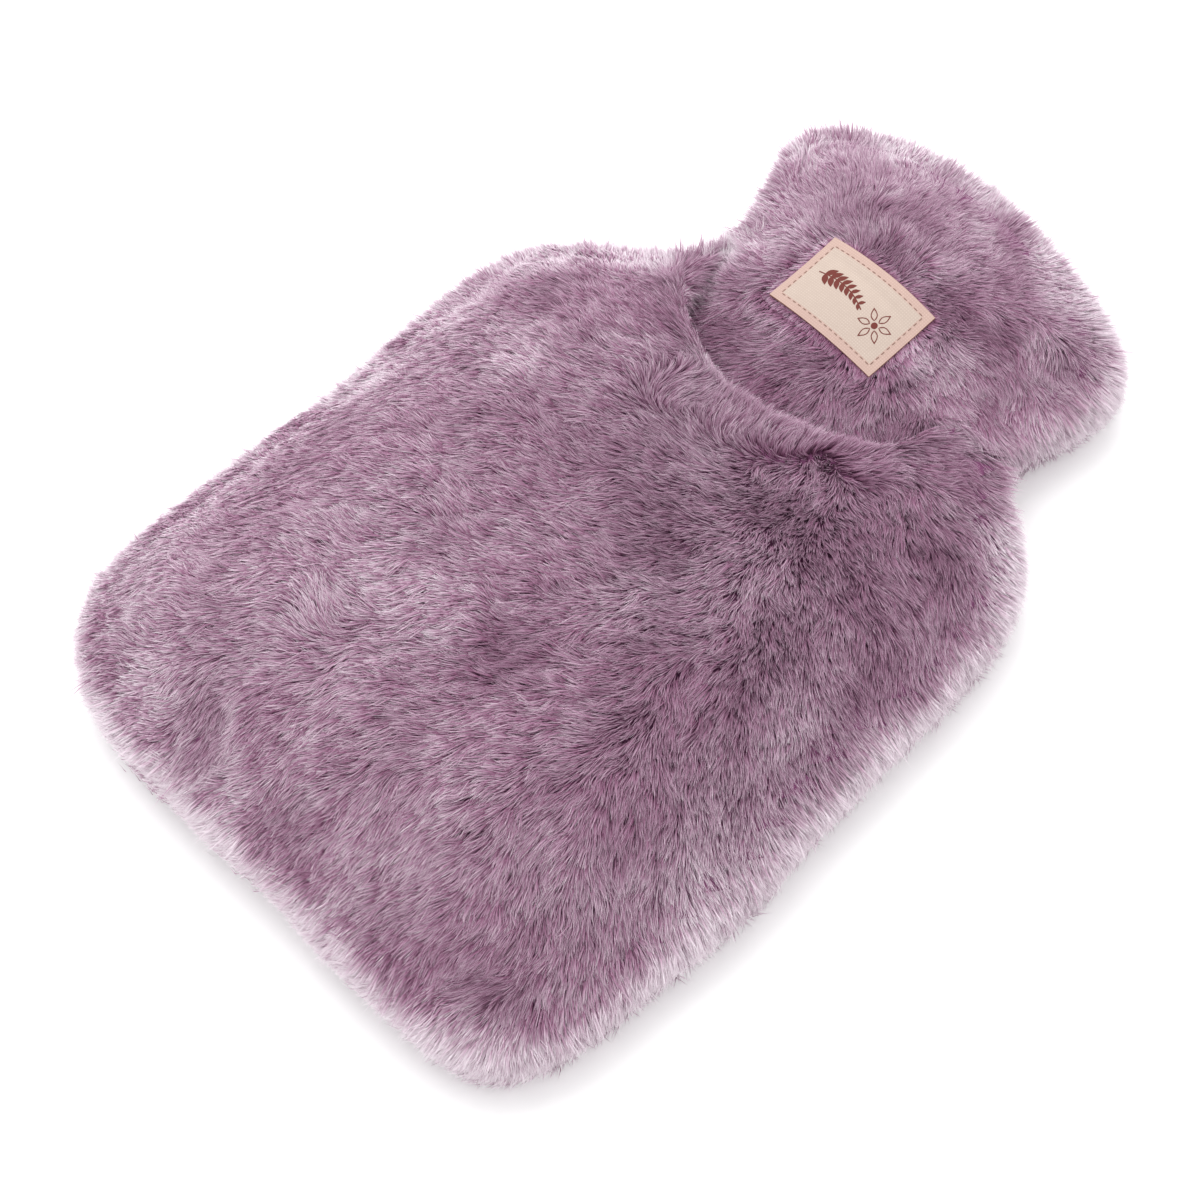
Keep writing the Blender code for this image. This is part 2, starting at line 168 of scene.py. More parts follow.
def add_node(tree: NodeTree, kind: str, inputs: dict | None = None, **settings) -> Node:
    """Adds a shader node with its settings and links.

    Args:
        tree: The material's node tree.
        kind: The node's Blender name.
        inputs: Socket name or place to a value, or to an output socket that is linked to it.
        **settings: The node's own properties.

    Returns:
        The new node.
    """
    node = tree.nodes.new(kind)
    for name, value in settings.items():
        setattr(node, name, value)
    for name, value in (inputs or {}).items():
        if isinstance(value, NodeSocket):
            tree.links.new(value, node.inputs[name])
        else:
            node.inputs[name].default_value = value
    return node


@dataclass(frozen=True)
class Finish:
    """A material: what all finishes share, and a surface that each kind draws."""

    name: str
    roughness: float

    IOR = 1.5
    SPECULAR = 0.15

    def surface(self, tree: NodeTree, shader: Node) -> None:
        """Links the finish's colour and relief to the shader.

        Args:
            tree: The material's node tree.
            shader: Its Principled shader.
        """
        raise NotImplementedError

    def build(self) -> Material:
        """Makes the material.

        Returns:
            The material, with nothing assigned to it yet.
        """
        material = bpy.data.materials.new(self.name)
        material.use_nodes = True
        tree = material.node_tree
        shader = tree.nodes["Principled BSDF"]
        shader.inputs["Roughness"].default_value = self.roughness
        shader.inputs["IOR"].default_value = self.IOR
        shader.inputs["Specular IOR Level"].default_value = self.SPECULAR
        self.surface(tree, shader)
        return material


@dataclass(frozen=True)
class PolyesterPile(Finish):
    """Long polyester pile, brushed and sheared: deep and dark between its roots, pale at its tips, which is
    painted shade towards the roots and painted light towards the tips.

    Light that goes down among the fibres meets the dye again and again, so the colour is raised to a
    power: above 1 it comes out dark and strong, and below 1 pale and soft. The ramp paints this light and
    shade into the colour.
    """

    colour: str
    # powers from root to tip: painted shade deep in the pile, painted light at the tips
    root: float
    middle: float
    tip: float
    toned: float  # how much of a power the whole range of tones stands for

    MOST = 2.5  # power that the ramp's white stands for
    LEAST = 0.18  # power of the palest tips
    ROOT_TO, MIDDLE_AT = 0.05, 0.5
    SHEEN, SHEEN_ROUGHNESS = 0.06, 0.5

    def surface(self, tree: NodeTree, shader: Node) -> None:
        """Colours each fibre from root to tip, painted shade at the root and painted light at the tip, and
        lighter or darker by its tone.

        Args:
            tree: The material's node tree.
            shader: Its Principled shader.
        """
        place = add_node(tree, "ShaderNodeUVMap", uv_map=TONE_MAP)
        axes = add_node(tree, "ShaderNodeSeparateXYZ", {0: place.outputs[0]})
        ramp = add_node(tree, "ShaderNodeValToRGB", {0: axes.outputs["Y"]})
        stops = ramp.color_ramp.elements
        stops[0].position, stops[0].color = self.ROOT_TO, self.grey(self.root)
        stops[1].position, stops[1].color = 1.0, self.grey(self.tip)
        stops.new(self.MIDDLE_AT).color = self.grey(self.middle)
        tone = add_node(tree, "ShaderNodeMath", {0: axes.outputs["X"], 1: -self.toned, 2: self.toned / 2},
                        operation="MULTIPLY_ADD")
        power = add_node(tree, "ShaderNodeMath", {0: ramp.outputs["Color"], 1: self.MOST, 2: tone.outputs[0]},
                         operation="MULTIPLY_ADD")
        kept = add_node(tree, "ShaderNodeMath", {0: power.outputs[0], 1: self.LEAST}, operation="MAXIMUM")
        dyed = add_node(tree, "ShaderNodeGamma", {"Color": linear(self.colour), "Gamma": kept.outputs[0]})
        tree.links.new(dyed.outputs[0], shader.inputs["Base Color"])
        shader.inputs["Sheen Weight"].default_value = self.SHEEN
        shader.inputs["Sheen Roughness"].default_value = self.SHEEN_ROUGHNESS

    def grey(self, power: float) -> tuple[float, float, float, float]:
        """The ramp's grey that stands for a power."""
        share = power / self.MOST
        return share, share, share, 1.0


@dataclass(frozen=True)
class WovenCotton(Finish):
    """Plain-woven unbleached cotton tape: matt cream with a fine crossed thread, its colour darker between
    the threads as painted shade in the weave's hollows, and darker at random slubs.
    """

    colour: str
    # colour of the weave's hollows: painted shade
    shade: str
    thread: float = 0.8  # twice as coarse as real thread, which is too fine for the picture
    turn: float = -3.5

    WAVE = 20.0  # radians that Blender's wave texture turns at a scale of 1
    WANDER = 0.6
    SLUBS = 420.0
    RELIEF = 0.06
    STRENGTH = 0.5

    def surface(self, tree: NodeTree, shader: Node) -> None:
        """Crosses two waves of thread, for colour and relief.

        Args:
            tree: The material's node tree.
            shader: Its Principled shader.
        """
        place = add_node(tree, "ShaderNodeTexCoord").outputs["Object"]
        turned = add_node(tree, "ShaderNodeMapping",
                          {"Vector": place, "Rotation": (0, 0, -math.radians(self.turn))})
        waves = {"Vector": turned.outputs[0], "Scale": 2 * math.pi / (self.WAVE * self.thread * MM),
                 "Distortion": self.WANDER}
        across, along = (add_node(tree, "ShaderNodeTexWave", waves, bands_direction=axis) for axis in "XY")
        weave = add_node(tree, "ShaderNodeMath", {0: across.outputs["Fac"], 1: along.outputs["Fac"]},
                         operation="MULTIPLY")
        slub = add_node(tree, "ShaderNodeTexNoise", {"Vector": place, "Scale": self.SLUBS})
        mixed = add_node(tree, "ShaderNodeMath", {0: weave.outputs[0], 1: slub.outputs["Fac"]},
                         operation="MULTIPLY")
        shades = {"Factor": mixed.outputs[0], "A": linear(self.shade), "B": linear(self.colour)}
        colour = add_node(tree, "ShaderNodeMix", shades, data_type="RGBA")
        bump = add_node(tree, "ShaderNodeBump", {"Height": weave.outputs[0], "Distance": self.RELIEF * MM,
                                                 "Strength": self.STRENGTH})
        tree.links.new(colour.outputs["Result"], shader.inputs["Base Color"])
        tree.links.new(bump.outputs[0], shader.inputs["Normal"])


@dataclass(frozen=True)
class Plain(Finish):
    """A matt finish of one colour, such as a knitted backing, thread, ink or a lit table."""

    colour: str
    glow: float = 0.0  # light that comes through it from behind

    def surface(self, tree: NodeTree, shader: Node) -> None:
        """One colour.

        Args:
            tree: The material's node tree.
            shader: Its Principled shader.
        """
        shader.inputs["Base Color"].default_value = linear(self.colour)
        shader.inputs["Emission Color"].default_value = (1, 1, 1, 1)
        shader.inputs["Emission Strength"].default_value = self.glow


# one dye; its root-to-tip ramp paints shade deep in the pile and light at the tips
PILE = PolyesterPile("polyester_pile", 0.85, "#A07991", root=2.2, middle=1.0, tip=0.33, toned=1.1)
BACKING = Plain("knitted_backing", 0.95, "#7E4A6E")
COTTON = WovenCotton("woven_cotton", 0.9, "#CDBFB3", "#B6A59A")
CUT_EDGE = Plain("cut_cotton_edge", 0.95, "#B98F7A")
# pinker and darker, for the margin outside the stitches
COTTON_MARGIN = WovenCotton("woven_cotton_margin", 0.9, "#CDB3A9", "#B69B91")
# darker than the cream thread: painted shade of the holes that the stitches dip into
SHADED_THREAD = Plain("sewing_thread_shaded", 0.8, "#8C7166")
INK = Plain("printed_ink", 0.7, "#6A342E")
TABLE = Plain("opal_acrylic", 0.95, "#F7F7F7", glow=0.16)


# ---- shared shapes


def add_object(name: str, data: ID) -> Object:
    """Puts a mesh, a light or a camera in the scene.

    Args:
        name: The object's name.
        data: What it shows.

    Returns:
        The new object.
    """
    thing = bpy.data.objects.new(name, data)
    bpy.context.scene.collection.objects.link(thing)
    return thing


def link(name: str, mesh: Mesh) -> Object:
    """Puts a mesh in the scene as an object at the origin that rides on the cover.

    Args:
        name: The object's name.
        mesh: Its mesh, already in place.

    Returns:
        The new object.
    """
    thing = add_object(name, mesh)
    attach(thing, BODY)
    log.info("%s: %d faces", name, len(mesh.polygons))
    return thing


def finished(name: str, bm: BMesh, smooth: bool = True) -> Object:
    """Turns a bmesh into a piece of the cover, and frees it.

    Args:
        name: The piece's name.
        bm: The bmesh.
        smooth: Whether its faces are shaded smooth.

    Returns:
        The piece.
    """
    mesh = bpy.data.meshes.new(name)
    bm.to_mesh(mesh)
    bm.free()
    if smooth:
        mesh.shade_smooth()
    return link(name, mesh)


def merged(node: Object) -> BMesh:
    """A copy of a solid's mesh with its loose triangles joined.

    Args:
        node: The solid.

    Returns:
        A new bmesh, which the caller frees.
    """
    bm = bmesh.new()
    bm.from_mesh(node.data)
    bmesh.ops.remove_doubles(bm, verts=bm.verts, dist=WELD)
    bm.normal_update()
    return bm


def face_tree(node: Object) -> BVHTree:
    """A search tree of a solid's faces.

    Args:
        node: The solid.

    Returns:
        The tree.
    """
    bm = merged(node)
    tree = BVHTree.FromBMesh(bm)
    bm.free()
    return tree


def point_tree(points: list[Vector] | Array) -> KDTree:
    """A search tree of points.

    Args:
        points: The points, which it finds by their numbers.

    Returns:
        The tree.
    """
    tree = KDTree(len(points))
    for i, point in enumerate(points):
        tree.insert(point, i)
    tree.balance()
    return tree


def unit(rows: Array, least: float = 1e-6) -> Array:
    """Vectors, one a row, brought to length 1 unless they are shorter than the least."""
    return rows / np.maximum(np.linalg.norm(rows, axis=1, keepdims=True), least)


def mix(first: Array, second: Array | float, share: Array) -> Array:
    """Goes from the first value to the second as the share goes from 0 to 1."""
    return first * (1 - share) + second * share


def clamp(value: Array) -> Array:
    """The value, no lower than 0 and no higher than 1."""
    return np.clip(value, 0, 1)


class Daylight:
    """Tells how much of the sky a place on the cover sees past the solids."""

    RAYS = 32
    START = 0.6 * MM
    GOLDEN = math.pi * (3 - math.sqrt(5))  # turn between rays that spreads them evenly

    def __init__(self, nodes: list[Object]) -> None:
        """Makes a search tree of the solids, and rays that are closer together near the pole.

        Args:
            nodes: Solids that block the light.
        """
        points, faces = [], []
        for node in nodes:
            first = len(points)
            points += [v.co.copy() for v in node.data.vertices]
            faces += [tuple(first + i for i in face.vertices) for face in node.data.polygons]
        self.tree = BVHTree.FromPolygons(points, faces)
        k = np.arange(self.RAYS) + 0.5
        height = np.sqrt(1 - k / self.RAYS)
        flat, turn = np.sqrt(1 - height ** 2), k * self.GOLDEN
        self.rays = [Vector(ray) for ray in np.stack([flat * np.cos(turn), flat * np.sin(turn), height], 1)]

    def share(self, place: Vector, normal: Vector) -> float:
        """Share of the half sphere over a place that is open.

        Args:
            place: A point on a solid.
            normal: The way it faces.

        Returns:
            0 where it sees nothing, 1 where nothing blocks it.
        """
        turn = normal.to_track_quat("Z", "Y")
        start = place + normal * self.START
        return sum(self.tree.ray_cast(start, turn @ ray)[0] is None for ray in self.rays) / self.RAYS


class Ripple:
    """Smooth noise from about -1 to 1, as a sum of seeded waves of about one length."""

    WAVES = 14
    SPREAD = (0.6, 1.5)  # range of their lengths' inverse
    PEAK = 1.6  # most of the sum's values stay inside this

    def __init__(self, seed: int, length: float) -> None:
        """Draws the waves.

        Args:
            seed: The random seed.
            length: Their length in millimetres.
        """
        rng = np.random.default_rng(seed)
        way = unit(rng.normal(size=(self.WAVES, 3)))
        self.ways = way * (2 * math.pi / (length * MM)) * rng.uniform(*self.SPREAD, (self.WAVES, 1))
        self.phases = rng.uniform(0, 2 * math.pi, self.WAVES)

    def at(self, points: Array) -> Array:
        """The noise at points in metres, one a row."""
        return np.sin(points @ self.ways.T + self.phases).sum(1) / math.sqrt(self.WAVES / 2) / self.PEAK


class Nap:
    """Which way a panel's pile lies, blended from strokes of the comb."""

    WIDTH = 0.6  # a stroke's pull falls to 0.6 at this share of its reach
    FAINT = 1e-7  # pull of strokes that are out of reach, which counts where no other does
    FAR = 60.0
    PARTED = 22.0  # degrees steeper where strokes lead straight away from each other

    def __init__(self, strokes: tuple[Stroke, ...]) -> None:
        """Keeps the strokes as arrays.

        Args:
            strokes: The table of strokes.
        """
        rows = np.array(strokes, float)
        self.place, self.reach = rows[:, :2], rows[:, 5]
        heading = np.radians(rows[:, 2])
        self.ways = np.stack([np.cos(heading), np.sin(heading)], 1)
        self.lean, self.light = rows[:, 3], rows[:, 4]

    def at(self, points: Array) -> tuple[Array, Array, Array]:
        """Blends the strokes at some points.

        Args:
            points: Places in metres, one a row.

        Returns:
            The heading in radians, the lean in degrees and the lightness at each place, which is painted
            light and shade.
        """
        away = np.linalg.norm(points[:, None, :2] / MM - self.place[None], axis=2)
        weight = np.exp(-0.5 * (away / (self.WIDTH * self.reach)) ** 2) / self.reach ** 2
        weight += self.FAINT * np.exp(-away / self.FAR)
        weight /= weight.sum(1, keepdims=True)
        way = weight @ self.ways
        lean = weight @ self.lean + self.PARTED * (1 - np.linalg.norm(way, axis=1))
        return np.arctan2(way[:, 1], way[:, 0]), lean, weight @ self.light


# ---- plush


@dataclass(frozen=True)
class Fibre:
    """Sizes of the pile: lengths in millimetres, angles in degrees, shares and tones from 0 to 1."""

    length: float = 9.4
    cut: tuple[float, float] = (0.8, 1.08)  # a fibre's own share of that length
    width: float = 0.32  # at the bend, where a ribbon is widest
    bend_at: float = 0.40  # share of the length below the bend
    rise: float = 30.0  # steeper than the nap by this much below the bend
    fall: float = 10.0  # flatter by this much above it
    droop: float = 0.45  # how far the nap leads downhill
    flattest: float = 2.0
    steepest: float = 80.0
    steepest_root: float = 84.0
    short_when: tuple[float, float] = (15.0, 60.0)  # leans at which it is longest and shortest
    shortest: float = 0.78
    roll: float = 30.0  # spread of the ribbons' turn about themselves
    stray: float = 10.0  # spread of heading, lean, depth and tone from fibre to fibre
    stray_lean: float = 4.0
    stray_depth: float = 0.4
    stray_tone: float = 0.12
    tone: float = 0.5
    tones: tuple[float, float] = (0.03, 0.97)

    sunk: float = 0.8  # the tips end this far inside the solid
    shallowest: float = 2.6  # least and greatest depth of the roots
    deepest: float = 6.5
    flank_to: float = 0.6  # the cover's flanks are where the surface faces up less than this
    flank_in: float = 1.0  # tips end this much further inside there
    flank_fuzz: float = 0.9  # and less evenly
    rim_light_from: float = 1.1  # painted rim light: paler by as much as a slope faces up less than this
    painted_rim_light: float = 0.38  # painted rim light, paler where it is seen edge on, at the cover's sides
    painted_edge_light: float = 0.08  # painted light, paler towards the panel's edge

    under_from: float = 0.5  # the pile is pressed flat where it faces down by this much
    under_over: float = 0.4  # fully so by this much more
    under_lean: float = 4.0
    under_rise: float = 0.2  # share that is left of the rise there
    under_depth: float = 2.2

    seam_reach: float = 9.0  # width of the pile that bridges a seam or rounds a rim
    seam_rise: float = 2.3  # its tips stand this much higher
    seam_rim_light: float = 0.45  # painted rim light: both sides of a seam are as pale as a slope that faces this far aside
    seam_lean: float = 8.0  # and stand this much steeper
    seam_length: float = 0.2  # and are this share longer
    seam_fuzz: float = 0.16  # with this spread of their length
    seam_loose: float = 0.6  # and clump this much less
    seam_more: float = 0.8  # and grow this much more thickly
    rim_rise: float = 0.8  # rise and length where no seam holds the edge
    rim_length: float = -0.22

    label_reach: float = 5.0  # width of the pile that closes up to the label
    label_close: float = 1.6  # how sharply it does
    label_rise: float = 1.4
    under_label: float = 0.5  # depth of the tips that the label presses flat
    pressed_from: float = 0.5  # it starts this far outside its edge
    pressed_lean: float = 3.0
    pressed_short: float = 0.4  # shorter there by this share

    clump: int = 4  # fibres that share a tip
    clump_pull: tuple[float, float] = (0.06, 0.44)
    own_pull: tuple[float, float] = (0.7, 1.15)  # a fibre's own share of that pull
    most_pull: float = 0.95
    bend_pull: float = 0.3  # share of it that the bends get
    tip_apart: float = 0.15  # share of the roots' distance that the tips keep
    clump_turn: float = 6.0  # spread of heading, lean, light and length from clump to clump
    clump_lean: float = 4.0
    clump_light: float = 0.03
    clump_length: float = 0.10

    lock_length: float = 9.0  # length of the waves that part the pile into locks
    lock_turn: float = 15.0
    lock_lean: float = 5.0
    curl: float = 16.0  # a lock's fibres curve by twice this much along their length
    curl_length: float = 13.0
    drift_length: float = 30.0
    drift_turn: float = 17.0
    mottle_length: float = 14.0
    mottle_light: float = 0.06
    patch_length: float = 40.0  # length of the patches that lie flatter or steeper
    patch_edge: float = 2.0  # how sharply they end
    patch_lean: float = 6.0
    # painted light and shade: lighter where a patch lies flatter, darker where it stands steeper
    patch_light_and_shade: float = 0.08


@dataclass
class Panel:
    """One panel of plush: a thin backing on its solid's folds, and its pile."""

    name: str
    node: str
    strokes: tuple[Stroke, ...]
    flat: tuple[float, float]
    area: float
    piles: int
    blades: int
    seed: int
    rests_on: tuple[str, ...]
    over_seam: float = 0.7  # how far the pile at the panel's edge turns to cross it
    edge_from: float = -999.0  # only edges further up the cover than this count
    edge_spots: tuple[float, ...] = (0.1, 0.5, 0.9)  # where each edge is sampled
    edge_smooth: float = 14.0  # the way over the edge is the mean of this far round
    edge_least: float = 0.3  # where that mean is shorter, the pile turns less
    free_edge: tuple[float, float, float] = (0.0, 0.0, 0.0)  # left, right and foot of the open edge
    backing_depth: float = 5.0
    backing_under: float = 0.6  # less deep by this share where the cover lies on it
    backing_thick: float = 1.2
    backing_margin: float = 5.0  # it ends this far from the panel's seams
    backing_smooth: float = 0.3
    wall_share: float = 0.45  # the backing goes no deeper than this share of the wall
    open_share: float = 0.09  # faces that see less of the sky than this don't show
    facing: tuple[float, ...] = (-0.95, -0.6, -0.1, 0.2)  # from straight down to a little up
    sown: tuple[float, ...] = (0.12, 0.3, 0.8, 1.0)  # share of fibres on faces so turned
    lowest: float = 0.15  # the pile is pressed flat this far above the surface
    tone_width: float = 0.006  # width of a ribbon in its map of tones
    fibre: Fibre = field(default_factory=Fibre)

    CORNERS = (0, 1, 2, 2, 1, 3)  # root, the bend's two sides and tip, as two triangles
    ACROSS = (0, 1, -1, -1, 1, 0)  # side of the ribbon that each corner is on

    def build(self, node: Object, light: Daylight, label: "SewnLabel") -> None:
        """Makes the backing and the pile.

        Args:
            node: The panel's solid.
            light: Tells which faces show.
            label: The label, under which no pile grows.
        """
        skin = self.shown(node, light)
        self.solid = face_tree(node)
        self.edge, self.outward, self.free = self.border(skin)
        self.backing = self.make_backing(skin)
        places, normals, triangles, weights = self.ground(skin)
        skin.free()
        rng = np.random.default_rng(self.seed)
        roots, ups = self.roots(places, normals, triangles, weights, rng)
        inside = label.inside(roots)
        keep = inside < label.bare_from
        self.pile = self.grow(roots[keep], ups[keep], inside[keep], rng)

    def shown(self, node: Object, light: Daylight) -> BMesh:
        """The part of the solid's surface that light reaches.

        Args:
            node: The panel's solid.
            light: Tells which faces show.

        Returns:
            A bmesh of the outer surface, its normals taken from that surface alone.
        """
        bm = merged(node)
        hidden = [f for f in bm.faces if light.share(f.calc_center_median(), f.normal) < self.open_share]
        bmesh.ops.delete(bm, geom=hidden, context="FACES")
        for island in self.islands(bm)[1:]:
            bmesh.ops.delete(bm, geom=list(island), context="FACES")
        bm.normal_update()
        return bm

    @staticmethod
    def islands(bm: BMesh) -> list[set]:
        """Groups of joined faces, the largest first.

        Args:
            bm: The mesh.

        Returns:
            Sets of faces.
        """
        left, found = set(bm.faces), []
        while left:
            todo = [left.pop()]
            group = set(todo)
            while todo:
                for edge in todo.pop().edges:
                    new = left.intersection(edge.link_faces)
                    left -= new
                    group |= new
                    todo += new
            found.append(group)
        return sorted(found, key=len, reverse=True)

    def border(self, skin: BMesh) -> tuple[KDTree, Array, Array]:
        """The edges of the shown surface: seams, and the rim of the mouth.

        Args:
            skin: The surface that shows.

        Returns:
            A tree of places along them, the way out over the edge at each, and 1 where it is free.
        """
        places, ways = [], []
        for edge in skin.edges:
            a, b = (v.co for v in edge.verts)
            if edge.is_boundary and (a.y + b.y) / 2 > self.edge_from * MM:
                along = (b - a).normalized()
                out = (a + b) / 2 - edge.link_faces[0].calc_center_median()
                places += [a.lerp(b, t) for t in self.edge_spots]
                ways += [(out - along * out.dot(along)).normalized()] * len(self.edge_spots)
        tree, ways = point_tree(places), np.array(ways)
        near = [[i for _, i, _ in tree.find_range(place, self.edge_smooth * MM)] for place in places]
        left, right, foot = (MM * limit for limit in self.free_edge)
        free = np.array([float(left < place.x < right and place.y > foot) for place in places])
        return tree, unit(np.array([ways[group].mean(0) for group in near]), self.edge_least), free

    def make_backing(self, skin: BMesh) -> Object:
        """The knitted ground of the plush, a thin sheet below the tips of the pile.

        Args:
            skin: The surface that shows.

        Returns:
            The sheet.
        """
        bm = skin.copy()
        outer = [f for f in bm.faces if self.edge.find(f.calc_center_median())[2] < self.backing_margin * MM]
        bmesh.ops.delete(bm, geom=outer, context="FACES")
        for vert, wall in zip(bm.verts, [self.wall(vert) for vert in bm.verts]):
            down = max(0.0, -vert.normal.z)
            depth = self.backing_depth * (1 - self.backing_under * down ** 4) * MM
            vert.co -= vert.normal * min(depth, self.wall_share * wall)
        inner = [v for v in bm.verts if not v.is_boundary]
        bmesh.ops.smooth_vert(bm, verts=inner, factor=self.backing_smooth,
                              use_axis_x=True, use_axis_y=True, use_axis_z=True)
        bm.normal_update()
        self.thicken(bm)
        return finished(f"{self.name}_cloth", bm)

    def thicken(self, bm: BMesh) -> None:
        """Gives a surface the backing's thickness, each point moved straight in.

        Args:
            bm: The surface, which becomes a closed sheet.
        """
        edges = [e for e in bm.edges if e.is_boundary]
        normals = {v: v.normal.copy() for v in bm.verts}
        made = bmesh.ops.duplicate(bm, geom=list(bm.faces))
        pairs = made["vert_map"]
        for vert, normal in normals.items():
            pairs[vert].co -= normal * self.backing_thick * MM
        bmesh.ops.reverse_faces(bm, faces=[f for f in made["geom"] if isinstance(f, BMFace)])
        for edge in edges:
            a, b = edge.verts
            if edge.link_loops[0].vert is not a:
                a, b = b, a
            bm.faces.new((b, a, pairs[a], pairs[b]))
        bm.normal_update()

    def wall(self, vert: BMVert) -> float:
        """Thickness of the solid behind a point of its surface, in metres."""
        found = self.solid.ray_cast(vert.co - vert.normal * WALL_START * MM, -vert.normal)
        return found[3] if found[0] is not None else 0.0

    def ground(self, skin: BMesh) -> tuple[Array, Array, Array, Array]:
        """The surface as arrays to sow the pile on.

        Args:
            skin: The surface that shows.

        Returns:
            Points, their normals, triangles and the share of fibres each triangle gets.
        """
        skin.verts.index_update()
        places = np.array([v.co for v in skin.verts])
        normals = np.array([v.normal for v in skin.verts])
        triangles = np.array([[loop.vert.index for loop in loops] for loops in skin.calc_loop_triangles()])
        a, b, c = (places[triangles[:, i]] for i in range(3))
        cross = np.cross(b - a, c - a)
        area = np.linalg.norm(cross, axis=1)
        share = np.interp(cross[:, 2] / np.maximum(area, 1e-12), self.facing, self.sown)
        away = np.array([self.edge.find(Vector(spot))[2] for spot in (a + b + c) / 3]) / MM
        weights = area * share * (1 + self.fibre.seam_more * clamp(1 - away / self.fibre.seam_reach))
        return places, normals, triangles, weights / weights.sum()

    def roots(self, places: Array, normals: Array, triangles: Array, weights: Array,
              rng: np.random.Generator) -> tuple[Array, Array]:
        """Sows fibres over the surface.

        Args:
            places: Points of the surface.
            normals: Their normals.
            triangles: Its triangles.
            weights: Share of fibres that each triangle gets.
            rng: Random numbers.

        Returns:
            Places on the surface and the normals there.
        """
        pick = triangles[rng.choice(len(triangles), self.blades, p=weights)].T
        u, v = rng.random((2, self.blades, 1))
        u, v = np.where(u + v > 1, 1 - u, u), np.where(u + v > 1, 1 - v, v)
        spots, ups = (value[pick[0]] * (1 - u - v) + value[pick[1]] * u + value[pick[2]] * v
                      for value in (places, normals))
        return spots, unit(ups)

    def comb(self, centres: Array, own: Array) -> tuple[Array, Array, Array]:
        """How each clump lies: with the nap, and with the pile's drifts, locks and patches.

        Args:
            centres: Where the clumps are.
            own: Four random numbers for each.

        Returns:
            Headings in radians, leans in degrees and lightness: painted light and shade, with random
            mottling.
        """
        fibre = self.fibre
        lengths = (fibre.lock_length, fibre.drift_length, fibre.lock_length, fibre.mottle_length,
                   fibre.patch_length)
        lock, drift, steep, mottle, patch = (
            Ripple(self.seed + 1 + i, length).at(centres) for i, length in enumerate(lengths))
        heading, lean, light = Nap(self.strokes).at(centres)
        heading += np.radians(fibre.lock_turn * lock + fibre.drift_turn * drift
                              + fibre.clump_turn * own[:, 0])
        patch = np.tanh(fibre.patch_edge * patch)
        lean = lean + (fibre.patch_lean * patch + fibre.lock_lean * steep + fibre.clump_lean * own[:, 1])
        # the patches' painted light and shade, with random mottle and clump tone
        light = light + (fibre.mottle_light * mottle - fibre.patch_light_and_shade * patch
                         + fibre.clump_light * own[:, 2])
        return heading, lean, light

    def grow(self, spots: Array, ups: Array, inside: Array,
             rng: np.random.Generator) -> list[Object]:
        """Grows the fibres in clumps that lie with the nap.

        Args:
            spots: Places on the surface that the pile's tips make.
            ups: The normals there.
            inside: How far each lies inside the label's edge, in millimetres.
            rng: Random numbers.

        Returns:
            The pile, in several pieces.
        """
        fibre, count, up = self.fibre, len(spots), ups[:, 2]
        heads = rng.choice(count, count // fibre.clump, replace=False)
        centres = spots[heads]
        tree = point_tree(centres)
        clump = np.array([tree.find(spot)[1] for spot in spots])
        own = rng.normal(size=(len(heads), 4))
        heading, lean, light = self.comb(centres, own)

        # Where each fibre is: near a seam or rim, on a flank, underneath, or at the label.
        nearest = [self.edge.find(centre) for centre in centres]
        edge = [found[1] for found in nearest]
        away = np.array([found[2] for found in nearest]) / MM
        over, free = self.outward[edge][clump], self.free[edge][clump]
        near = clamp(1 - away / fibre.seam_reach)[clump]
        # how far a slope faces aside, which sets its painted rim light
        aside = clamp(fibre.rim_light_from - up)
        flank = clamp(1 - up / fibre.flank_to) * (1 - near)
        under = clamp((-up - fibre.under_from) / fibre.under_over)
        pressed = clamp(inside + fibre.pressed_from)
        beside = clamp(1 - np.abs(inside + fibre.label_reach / 2) / fibre.label_reach * fibre.label_close)

        # Its lean, its length, and the two straight parts that it is made of.
        turn = heading[clump] + np.radians(fibre.stray) * rng.normal(size=count)
        angle = lean[clump] + fibre.stray_lean * rng.normal(size=count)
        angle = np.clip(angle, fibre.flattest, fibre.steepest) + fibre.seam_lean * near
        angle = mix(mix(angle, fibre.under_lean, under), fibre.pressed_lean, pressed)
        grown = (1 + fibre.clump_length * own[:, 3])[clump]
        length = fibre.length * grown * rng.uniform(*fibre.cut, count) * MM
        longer = fibre.seam_length + (fibre.rim_length - fibre.seam_length) * free
        length *= np.interp(angle, fibre.short_when, [1.0, fibre.shortest]) * (1 + longer * near)
        uneven = np.exp(fibre.seam_fuzz * near * rng.normal(size=count))
        length *= (1 - fibre.pressed_short * pressed) * uneven
        curl = np.radians(fibre.curl * Ripple(self.seed + 6, fibre.curl_length).at(centres))[clump]
        cross = (self.over_seam * near)[:, None]
        start, end = (self.lie(turn + bent, ups, over, cross) for bent in (curl, -curl))
        rise = fibre.rise * (1 - (1 - fibre.under_rise) * under)
        low = np.radians(np.clip(angle + rise, 0, fibre.steepest_root))[:, None]
        high = np.radians(angle - fibre.fall * (1 - under))[:, None]
        first = length[:, None] * fibre.bend_at * (start * np.cos(low) + ups * np.sin(low))
        second = length[:, None] * (1 - fibre.bend_at) * (end * np.cos(high) + ups * np.sin(high))

